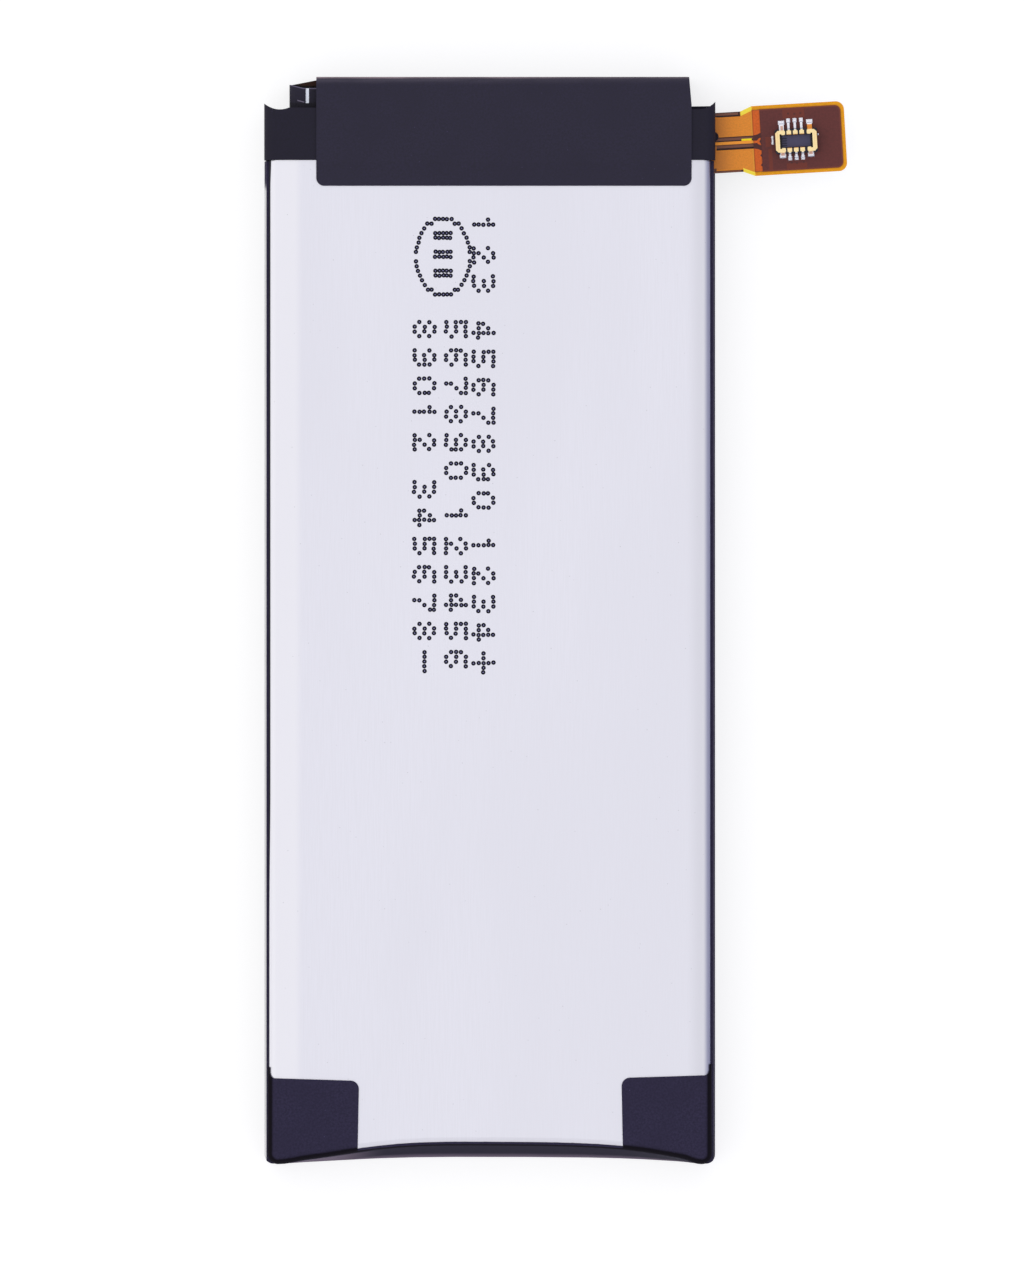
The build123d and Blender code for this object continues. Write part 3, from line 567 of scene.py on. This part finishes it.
def film_finish(colours):
    """Amber film: brown over the black tape, bright where it is single, amber round the wide end."""
    finish = Finish("amber film", colours.film, 0.25, specular=0.2)
    along, across = tail_axes(finish)
    grain = finish.noise((7.0, 7.0, 7.0), 3.0)
    finish.vary(grain, colours.film, 0.97, 1.03)
    near_cover = finish.span(cover_reach(finish, along, across), 0.37, 0.29)
    finish.paint(finish.overlap(near_cover, finish.span(along, 2.45, 2.5)), FILM_BESIDE_COVER)
    finish.paint(finish.field((along,), (1.47, 2.09), soft=0.02), colours.film_bright)
    middle = finish.field((along, across), (1.0, 2.2), (-0.5, 0.4))
    neck = finish.span(along, 1.44, 1.47, 1.0, 0.0)
    over_tape = finish.union(middle, neck)
    finish.paint(over_tape, colours.film_dark)
    for low, high, strength in GAP_LINES:
        finish.paint(finish.overlap(finish.band(across, low, high, 0.012), over_tape), GAP_LINE, strength)
    outer = finish.span(finish.maths("ABSOLUTE", across), 1.25, 1.35)
    finish.paint(finish.overlap(finish.band(along, 1.34, 1.43, 0.02), outer), NECK_LINE)
    finish.paint(finish.field((along, across), (1.45, 2.0), (0.02, 0.15)), SINGLE_FILM)
    finish.bump(grain, 0.15, 0.003)
    return finish


def copper_finish(colours):
    """Copper under amber film, with a fine speckle and paler borders."""
    finish = Finish("covered copper", colours.copper, 0.45, metallic=0.1, specular=0.3)
    along, across = tail_axes(finish)
    speckle = finish.noise((11.0, 11.0, 11.0), 3.0, 0.65)
    finish.vary(speckle, colours.copper, 0.96, 1.04)
    # Painted shade on the copper close to the pack's wall
    finish.paint(finish.span(along, 0.0, 1.2, 0.55, 0.0), SHADED_COPPER)
    finish.paint(finish.field((across,), (-0.17, 0.06)), SENSE_COPPER)
    borders = finish.union(*(finish.band(across, low, high, 0.008) for low, high in COPPER_BORDERS))
    finish.paint(finish.overlap(borders, finish.span(along, 1.45, 1.5, 1.0, 0.4)), COPPER_BORDER)
    finish.paint(finish.field((along,), (2.015, 2.10)), COPPER_END)
    widening = finish.maths("MULTIPLY", finish.maths("SUBTRACT", along, FLARE_START), FLARE_SLOPE)
    margin = finish.maths("SUBTRACT", finish.maths("ABSOLUTE", across), widening)
    flare = finish.overlap(finish.span(margin, 1.42, 1.45), finish.field((along,), (1.45, 2.09)))
    finish.paint(flare, colours.film_bright)
    finish.bump(speckle, 0.3, 0.004)
    return finish


def strip_finish(colours):
    """Clear red film that covers the ends of the copper areas."""
    finish = Finish("cover strip", colours.strip, 0.45, specular=0.3)
    along, _ = tail_axes(finish)
    finish.vary(finish.noise((9.0, 9.0, 9.0), 3.0), colours.strip, 0.95, 1.04)
    finish.paint(finish.span(along, 2.12, 2.16, 0.6, 0.0), shade(colours.strip, 0.8))
    finish.paint(finish.span(along, 2.43, 2.5, 0.0, 0.6), shade(colours.strip, 0.75))
    return finish


# Traces that show faintly through the cover film: ranges along and across the tail
FAINT_TRACES = (
    ((3.74, 4.93), (1.12, 1.64)), ((3.82, 4.93), (-1.64, -1.32)),
    ((2.87, 3.07), (-1.64, -0.48)), ((2.74, 3.02), (-0.36, 0.18)),
)
# Round test points that show beside the plug: places along and across, and half their size
TEST_DOTS = ((4.05, 1.38), (4.39, 1.34), (4.72, 1.37), (4.10, -1.30), (4.38, -1.33), (4.75, -1.29))
TEST_DOT_REACH = 0.05


def cover_film_finish(colours):
    """Dark cover film over faint traces, redder along its rounded border."""
    finish = Finish("cover film", colours.cover_film, 0.45, specular=0.3)
    along, across = tail_axes(finish)
    tooth = finish.noise((10.0, 10.0, 10.0), 3.0)
    finish.vary(tooth, colours.cover_film, 0.95, 1.05)
    for ranges in FAINT_TRACES:
        finish.paint(finish.field((along, across), *ranges, soft=0.02), FAINT_TRACE, 0.75)
    for place in TEST_DOTS:
        ranges = [(value - TEST_DOT_REACH, value + TEST_DOT_REACH) for value in place]
        finish.paint(finish.field((along, across), *ranges, soft=0.03), TEST_DOT, 0.6)
    finish.paint(finish.span(along, 2.56, 2.50), shade(colours.cover_film, 0.8))
    finish.paint(finish.span(cover_reach(finish, along, across), 0.22, 0.27), COVER_BORDER)
    finish.bump(tooth, 0.3, 0.004)
    return finish


class BATTERYPACK_OT_finish_tail(bpy.types.Operator):
    """Finish the films, the copper and the stiffener of the flat tail."""

    bl_idname = "battery_pack.finish_tail"
    bl_label = "Finish the tail"

    def execute(self, context):
        colours = settings().colours
        coat(["flex_base_film"], film_finish(colours))
        coat(["positive_copper", "negative_copper", "sense_copper"], copper_finish(colours))
        coat(["connector_coverlay"], cover_film_finish(colours))
        plate = Finish("stiffener steel", (0.70, 0.70, 0.72), 0.4, metallic=1.0)
        plate.bump(plate.noise((3.0, 12.0, 3.0)), 0.3, 0.004)
        coat(["connector_stiffener"], plate)
        return {"FINISHED"}


# Tints of the plug's contacts, solder and recess, with painted shade for a groove across the power contacts
DEEP_GOLD = (0.97, 0.66, 0.28)
OUTER_GOLD = (0.85, 0.56, 0.28)
GROOVE_SHADE = (0.90, 0.72, 0.45)
DARK_TIN = (0.30, 0.32, 0.45)
TIN_LINE = (0.40, 0.43, 0.58)
BARE_COPPER = (0.93, 0.60, 0.24)
DULL_COPPER = (0.80, 0.52, 0.30)
RECESS_FLOOR = (0.30, 0.29, 0.41)
RECESS_RIBS = (0.15, 0.14, 0.21)
RIB_PITCH = 0.13


def gold_finish(colours):
    """Gold plating with deeper orange edges and painted shade for a groove, that turns to tin where the tails
    are soldered.
    """
    finish = Finish("gold plating", colours.gold, 0.3, metallic=0.5)
    along, across, _ = plug_axes(finish)
    reach = finish.maths("ABSOLUTE", across)
    ends = finish.maths("ABSOLUTE", along)
    fine = finish.noise((16.0, 16.0, 16.0), 2.0)
    finish.vary(fine, colours.gold, 0.97, 1.02)
    heads = finish.field((ends, reach), (-0.6, 0.6), (0.2, 0.385), soft=0.02)
    lips = finish.overlap(finish.field((ends,), (0.80, 0.885)), finish.span(reach, 0.34, 0.28))
    finish.paint(finish.union(heads, lips), DEEP_GOLD, 0.7)
    finish.paint(finish.span(ends, 1.10, 1.13), OUTER_GOLD, 0.6)
    # Painted shade for a groove across the power contacts
    finish.paint(finish.field((ends, reach), (0.985, 1.015), (-1.0, 0.5)), GROOVE_SHADE, 0.5)
    finish.paint(finish.span(reach, 0.60, 0.63), colours.solder)
    inner = finish.span(ends, 0.62, 0.6)
    finish.paint(finish.overlap(finish.band(reach, 0.64, 0.70), inner), DARK_TIN, 0.6)
    upper = finish.overlap(finish.band(across, 1.02, 1.06), inner)
    lower = finish.overlap(finish.band(across, -0.93, -0.89), inner)
    outer = finish.overlap(finish.band(across, 0.95, 0.99), finish.span(ends, 0.6, 0.62))
    finish.paint(finish.union(upper, lower, outer), TIN_LINE, 0.7)
    finish.paint(finish.field((along, across), (0.6, 0.92), (0.6, 0.87)), BARE_COPPER)
    left = finish.field((along, across), (-0.82, -0.68), (0.6, 0.86))
    low = finish.field((ends, across), (0.66, 0.86), (-0.76, -0.6))
    finish.paint(finish.union(left, low), DULL_COPPER, 0.7)
    finish.bump(fine, 0.3, 0.004)
    return finish


def solder_finish(colours):
    """Bright tin with soft ripples and a darker line beside the plug's feet."""
    finish = Finish("bright tin", colours.solder, 0.2, metallic=0.15)
    along, across, _ = plug_axes(finish)
    reach = finish.maths("ABSOLUTE", across)
    dark_line = finish.overlap(finish.band(reach, 0.86, 0.90), finish.span(along, -1.1, -1.0))
    finish.paint(dark_line, DARK_TIN, 0.7)
    ripple = finish.noise((9.0, 9.0, 9.0), 3.0)
    finish.drive("Roughness", finish.span(ripple, 0.3, 0.7, 0.14, 0.34))
    finish.bump(ripple, 0.6, 0.02)
    return finish


def moulding_finish(colours):
    """Dark moulding with a paler floor and a few dark ribs in its recess."""
    finish = Finish("plug moulding", colours.moulding, 0.5, specular=0.3)
    along, across, up = plug_axes(finish)
    fibre = finish.noise((18.0, 7.0, 10.0), 3.0)
    finish.vary(fibre, colours.moulding, 0.85, 1.2)
    floor = finish.field((along, across, up), (-0.77, 0.77), (-0.32, 0.32), (0.0, 0.32), soft=0.012)
    finish.paint(floor, RECESS_FLOOR)
    ribbed = finish.field((along, across), (-0.76, -0.50), (-0.26, 0.20), soft=0.02)
    wave = finish.maths("SINE", finish.maths("MULTIPLY", across, math.tau / RIB_PITCH))
    finish.paint(finish.overlap(ribbed, finish.span(wave, 0.2, 0.6)), RECESS_RIBS)
    finish.bump(fibre, 0.4, 0.006)
    return finish


class BATTERYPACK_OT_finish_plug(bpy.types.Operator):
    """Finish the plug's moulding, contacts and solder pads."""

    bl_idname = "battery_pack.finish_plug"
    bl_label = "Finish the plug"

    def execute(self, context):
        colours = settings().colours
        contacts = [f"signal_contact_{number}" for number in range(1, 7)]
        coat(["connector_housing"], moulding_finish(colours))
        coat(contacts + ["power_contact_left", "power_contact_right"], gold_finish(colours))
        coat(["solder_pads"], solder_finish(colours))
        return {"FINISHED"}


# Added pieces

def add_piece(name, sheet, finishes, matrix):
    """Finished object at the origin, with its place in its mesh."""
    bmesh.ops.recalc_face_normals(sheet, faces=sheet.faces)
    bmesh.ops.transform(sheet, matrix=matrix, verts=sheet.verts)
    mesh = bpy.data.meshes.new(name)
    sheet.to_mesh(mesh)
    sheet.free()
    for finish in finishes:
        mesh.materials.append(finish.material)
    piece = bpy.data.objects.new(name, mesh)
    bpy.context.scene.collection.objects.link(piece)
    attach(piece, BODY)


def add_plate(sheet, outline, low, high):
    """Flat plate between two levels with the given outline."""
    corners = [sheet.verts.new((x, y, low)) for x, y in outline]
    made = bmesh.ops.extrude_face_region(sheet, geom=[sheet.faces.new(corners)])["geom"]
    lifted = [item for item in made if isinstance(item, bmesh.types.BMVert)]
    bmesh.ops.translate(sheet, vec=(0.0, 0.0, high - low), verts=lifted)


def add_bead(sheet, place, size):
    """Rounded bead of solder about a place, with the given length, width and height."""
    matrix = Matrix.Translation(place) @ Matrix.Diagonal((*size, 1.0))
    bmesh.ops.create_uvsphere(sheet, u_segments=16, v_segments=10, radius=0.5, matrix=matrix)


# Dot print: each character as rows of dots from its top, read from left to right
DIGITS = {
    "0": ("0110", "1001", "1001", "1001", "0110"),
    "1": ("010", "110", "010", "010", "010"),
    "2": ("0110", "1001", "0010", "0100", "1111"),
    "3": ("1110", "0001", "0110", "0001", "1110"),
    "4": ("0010", "0110", "1010", "1111", "0010"),
    "5": ("1111", "1000", "1110", "0001", "1110"),
    "6": ("0111", "1000", "1110", "1001", "0110"),
    "7": ("1111", "0001", "0010", "0100", "0100"),
    "8": ("0110", "1001", "0110", "1001", "0110"),
    "9": ("0110", "1001", "0111", "0001", "1110"),
    "+": ("00100", "00100", "11111", "00100", "00100"),
    "-": ("00000", "00000", "11111", "00000", "00000"),
}
# Dots that the print moves down for a character and for a space
ADVANCE = 6
SPACE = 4
# Lines of print: characters, how far below the print's top they start, and the place of their tops across
PRINT_LINES = (
    ("123 4567890 1234+", 0.0, 0.19),
    ("567890 123456", 5.55, -1.30),
    ("89012 345678-", 5.55, -3.02),
)
# Small slips of the print head in millimetres, across and along
PRINT_SEED = 11
SLIP_ACROSS = 0.014
SLIP_ALONG = 0.008

# Half section of a dried dot: parts of its radius and of its height
DOT_PROFILE = ((0.24, 0.55), (0.46, 1.0), (0.86, 0.80), (1.0, 0.0))
DOT_SIDES = 12

# Register mark: its middle across and along the face, its half width and length, and its dots
REGISTER_MIDDLE = (-2.54, 20.6)
REGISTER_HALF_WIDTH = 1.47
REGISTER_HALF_LENGTH = 2.02
RING_DOTS = 42
BAR_PLACES = (-4, 0, 4)
BAR_ROWS = (0, 1)
BAR_STEP = 0.8


def one_dot(radius, height):
    """Mesh of one dried ink dot: a raised rim round a thin middle."""
    dot = bmesh.new()
    points = [dot.verts.new((radius * out, 0.0, height * up)) for out, up in DOT_PROFILE]
    edges = [dot.edges.new(pair) for pair in zip(points, points[1:])]
    bmesh.ops.spin(
        dot, geom=points + edges, cent=(0, 0, 0), axis=(0, 0, 1), dvec=(0, 0, 0),
        angle=math.tau, steps=DOT_SIDES, use_merge=True,
    )
    rims = [edge for edge in dot.edges if edge.is_boundary]
    made = bmesh.ops.holes_fill(dot, edges=rims, sides=0)["faces"]
    for face in made:
        if face.calc_center_median().z > height / 4:
            face.material_index = 1
    mesh = bpy.data.meshes.new("ink dot")
    dot.to_mesh(mesh)
    dot.free()
    return mesh


def line_dots(text, start, right, pitch, row_pitch):
    """Places of the dots of one line that reads down the pack, its characters' tops to the right."""
    place = start
    for character in text:
        if character == " ":
            place -= SPACE * pitch
            continue
        for drop, row in enumerate(DIGITS[character]):
            for step, mark in enumerate(row):
                if mark == "1":
                    yield right - drop * row_pitch, place - step * pitch
        place -= ADVANCE * pitch


def register_dots(pitch):
    """Places of the dots of a plain register mark: a stepped ring with three short bars in it."""
    across, along = REGISTER_MIDDLE
    for number in range(RING_DOTS):
        angle = math.tau * (number + 0.5) / RING_DOTS
        row = round(REGISTER_HALF_LENGTH * math.sin(angle) / pitch)
        yield across + REGISTER_HALF_WIDTH * math.cos(angle), along + row * pitch
    for bar in BAR_PLACES:
        for row in BAR_ROWS:
            for step in range(-2, 3):
                yield across + step * BAR_STEP * pitch, along + (bar + row) * pitch


class BATTERYPACK_OT_print_dots(bpy.types.Operator):
    """Print plain counting digits, the two terminal signs and a register mark in ink dots."""

    bl_idname = "battery_pack.print_dots"
    bl_label = "Print the dots"

    def execute(self, context):
        pitch = size_of("dot_pitch")
        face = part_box("pouch_cell")[1].z / MM
        places = list(register_dots(pitch))
        for text, drop, right in PRINT_LINES:
            places += line_dots(text, size_of("print_top") - drop, right, pitch, size_of("row_pitch"))
        dot = one_dot(size_of("dot_size") / 2, size_of("ink_height"))
        slip = random.Random(PRINT_SEED)
        sheet = bmesh.new()
        for across, along in places:
            known = len(sheet.verts)
            sheet.from_mesh(dot)
            sheet.verts.ensure_lookup_table()
            move = (across + slip.gauss(0, SLIP_ACROSS), along + slip.gauss(0, SLIP_ALONG), face)
            bmesh.ops.translate(sheet, vec=move, verts=sheet.verts[known:])
        bpy.data.meshes.remove(dot)
        ink = Finish("print ink", settings().colours.ink, 0.55, specular=0.2)
        ink.bump(ink.noise((16.0, 16.0, 16.0)), 0.4, 0.003)
        thin = Finish("thin ink", (0.50, 0.49, 0.68), 0.5)
        thin.bump(thin.noise((16.0, 16.0, 16.0)), 0.4, 0.003)
        add_piece("dot_print", sheet, (ink, thin), Matrix.Scale(MM, 4))
        return {"FINISHED"}


# Outlines of the red cover strip's three pieces on the tail
STRIP_UPPER = ((2.08, 0.30), (2.30, 0.34), (2.50, 0.43), (2.50, 1.66), (2.08, 1.66))
STRIP_FORK = (
    (2.08, -0.13), (2.26, -0.11), (2.40, -0.22), (2.50, -0.25), (2.47, -0.15), (2.40, -0.05),
    (2.47, 0.05), (2.50, 0.15), (2.41, 0.14), (2.27, 0.01), (2.08, 0.02),
)
STRIP_LOWER = (
    (2.08, -1.66), (2.50, -1.66), (2.50, -1.42), (2.41, -1.33), (2.50, -1.24), (2.51, -1.08),
    (2.50, -0.90), (2.41, -0.81), (2.50, -0.72), (2.50, -0.54), (2.30, -0.45), (2.08, -0.41),
)


class BATTERYPACK_OT_lay_strips(bpy.types.Operator):
    """Lay the red cover strip over the ends of the copper areas."""

    bl_idname = "battery_pack.lay_strips"
    bl_label = "Lay the strips"

    def execute(self, context):
        sheet = bmesh.new()
        for outline in (STRIP_UPPER, STRIP_FORK, STRIP_LOWER):
            add_plate(sheet, outline, COVER_TOP, COVER_TOP + size_of("relief"))
        add_piece("cover_strip", sheet, (strip_finish(settings().colours),), tail_matrix())
        return {"FINISHED"}


# Solder on the plug's ten feet: places along the plug, then each row's place across, length and width
FOOT_BEADS = (
    ((-0.38, -0.03, 0.32), ((1.19, 0.22, 0.13), (-0.99, 0.22, 0.10))),
    ((-0.765, 0.765), ((1.09, 0.32, 0.11), (-0.86, 0.32, 0.10))),
)
FOOT_LEVEL = 0.03
# Solder on the two anchor pads: place along and across, length and width, and height in bead heights
ANCHOR_BEADS = (
    ((-1.28, -0.05), (0.16, 0.18), 3), ((-1.28, 0.26), (0.16, 0.18), 3),
    ((-1.27, 0.10), (0.13, 0.36), 2), ((1.20, 0.30), (0.10, 0.12), 3),
)


class BATTERYPACK_OT_add_solder(bpy.types.Operator):
    """Add the solder that stands on the plug's pads and on its two anchor pads."""

    bl_idname = "battery_pack.add_solder"
    bl_label = "Add the solder"

    def execute(self, context):
        height = size_of("bead_height")
        sheet = bmesh.new()
        for places, rows in FOOT_BEADS:
            for along in places:
                for across, length, width in rows:
                    add_bead(sheet, (along, across, COVER_TOP + FOOT_LEVEL), (length, width, 3 * height))
        for place, size, heights in ANCHOR_BEADS:
            add_bead(sheet, (*place, COVER_TOP), (*size, heights * height))
        matrix = tail_matrix(PLUG_ALONG, PLUG_ACROSS)
        add_piece("solder_beads", sheet, (solder_finish(settings().colours),), matrix)
        return {"FINISHED"}


# Stage: the floor's gap under the pack and its glow, the surround's colours from left to right, the lamp
# in metres and watts, and the middle of the picture on the face in millimetres
FLOOR_GAP = 0.02
FLOOR_COLOUR = (0.65, 0.65, 0.655)
FLOOR_GLOW = 0.72
SURROUND_LEFT = (0.95, 0.95, 0.955)
SURROUND_RIGHT = (0.85, 0.855, 0.915)
WHITE = (1.0, 1.0, 1.0)
LAMP_PLACE = (-0.55, 0.35, 0.85)
LAMP_WIDTH = 2.4
LAMP_POWER = 2.4
PICTURE_MIDDLE = (1.2065, -0.212)
SENSOR_WIDTH = 36.0
CLIP_END = 50.0


class BATTERYPACK_OT_set_stage(bpy.types.Operator):
    """Set the pale floor, the soft lights and the camera above the face."""

    bl_idname = "battery_pack.set_stage"
    bl_label = "Set the stage"

    def execute(self, context):
        scene = context.scene
        scene.view_settings.view_transform = "Standard"
        self.make_floor()
        self.make_world(scene)
        self.make_lamp()
        self.make_camera(scene)
        return {"FINISHED"}

    def make_floor(self):
        """White floor that keeps a faint shadow."""
        sheet = bmesh.new()
        bmesh.ops.create_grid(sheet, x_segments=1, y_segments=1, size=settings().sizes.floor_size / 2)
        bmesh.ops.translate(sheet, vec=(0, 0, -FLOOR_GAP * MM), verts=sheet.verts)
        mesh = bpy.data.meshes.new("floor")
        sheet.to_mesh(mesh)
        sheet.free()
        floor = bpy.data.objects.new("floor", mesh)
        bpy.context.scene.collection.objects.link(floor)
        finish = Finish("pale floor", FLOOR_COLOUR, 0.9, specular=0.0)
        finish.drive("Emission Color", WHITE)
        finish.drive("Emission Strength", finish.maths("MULTIPLY", finish.seen_directly(), FLOOR_GLOW))
        mesh.materials.append(finish.material)

    def make_world(self, scene):
        """Soft surround, a little darker and bluer on the right, and white to the camera."""
        world = bpy.data.worlds.new("soft surround")
        scene.world = world
        world.use_nodes = True
        world.node_tree.nodes.clear()
        nodes = Nodes(world.node_tree)
        place = nodes.tree.nodes.new("ShaderNodeTexCoord").outputs["Generated"]
        side = nodes.span(nodes.axes(place)[0], 0.05, 0.9)
        around = nodes.mix(side, SURROUND_LEFT, SURROUND_RIGHT)
        path = nodes.tree.nodes.new("ShaderNodeLightPath")
        shown = nodes.mix(path.outputs["Is Camera Ray"], around, WHITE)
        background = nodes.tree.nodes.new("ShaderNodeBackground")
        nodes.feed(background.inputs["Color"], shown)
        out = nodes.tree.nodes.new("ShaderNodeOutputWorld")
        nodes.feed(out.inputs["Surface"], background.outputs[0])

    def make_lamp(self):
        """One wide soft lamp, high on the left."""
        light = bpy.data.lights.new("soft lamp", "AREA")
        light.shape = "DISK"
        light.size = LAMP_WIDTH
        light.energy = LAMP_POWER
        lamp = bpy.data.objects.new("soft lamp", light)
        lamp.location = LAMP_PLACE
        lamp.rotation_euler = (-lamp.location).to_track_quat("-Z", "Y").to_euler()
        bpy.context.scene.collection.objects.link(lamp)

    def make_camera(self, scene):
        """Camera straight above the face, far enough away for flat perspective."""
        sizes = settings().sizes
        data = bpy.data.cameras.new("camera")
        data.sensor_width = SENSOR_WIDTH
        data.lens = data.sensor_width * sizes.camera_distance / sizes.frame_height
        data.clip_end = CLIP_END
        camera = bpy.data.objects.new("camera", data)
        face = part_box("pouch_cell")[1].z
        across, along = PICTURE_MIDDLE
        camera.location = (across * MM, along * MM, face + sizes.camera_distance)
        bpy.context.scene.collection.objects.link(camera)
        scene.camera = camera


class BATTERYPACK_PT_panel(bpy.types.Panel):
    """Buttons and settings of the battery pack."""

    bl_idname = "BATTERYPACK_PT_panel"
    bl_label = "Battery pack"
    bl_space_type = "VIEW_3D"
    bl_region_type = "UI"
    bl_category = "Battery pack"

    def draw(self, context):
        layout = self.layout
        for operator in OPERATORS:
            layout.operator(operator.bl_idname)
        pack = settings()
        for group in (pack.colours, pack.sizes):
            for name in group.bl_rna.properties.keys():
                if name not in ("rna_type", "name"):
                    layout.prop(group, name)


OPERATORS = (
    BATTERYPACK_OT_set_stage,
    BATTERYPACK_OT_finish_cell,
    BATTERYPACK_OT_finish_tape,
    BATTERYPACK_OT_finish_board,
    BATTERYPACK_OT_finish_tail,
    BATTERYPACK_OT_finish_plug,
    BATTERYPACK_OT_print_dots,
    BATTERYPACK_OT_lay_strips,
    BATTERYPACK_OT_add_solder,
)
CLASSES = (PackColours, PackSizes, BatteryPack, *OPERATORS, BATTERYPACK_PT_panel)


def register():
    """Make the classes and the scene's settings known."""
    for item in CLASSES:
        bpy.utils.register_class(item)
    bpy.types.Scene.battery_pack = bpy.props.PointerProperty(type=BatteryPack)


def unregister():
    """Take the settings and the classes away again."""
    del bpy.types.Scene.battery_pack
    for item in reversed(CLASSES):
        bpy.utils.unregister_class(item)


def main():
    """Finish and complete the pack with the operators in order."""
    register()
    for operator in OPERATORS:
        group, call = operator.bl_idname.split(".")
        getattr(getattr(bpy.ops, group), call)()


if __name__ == "__main__":
    main()
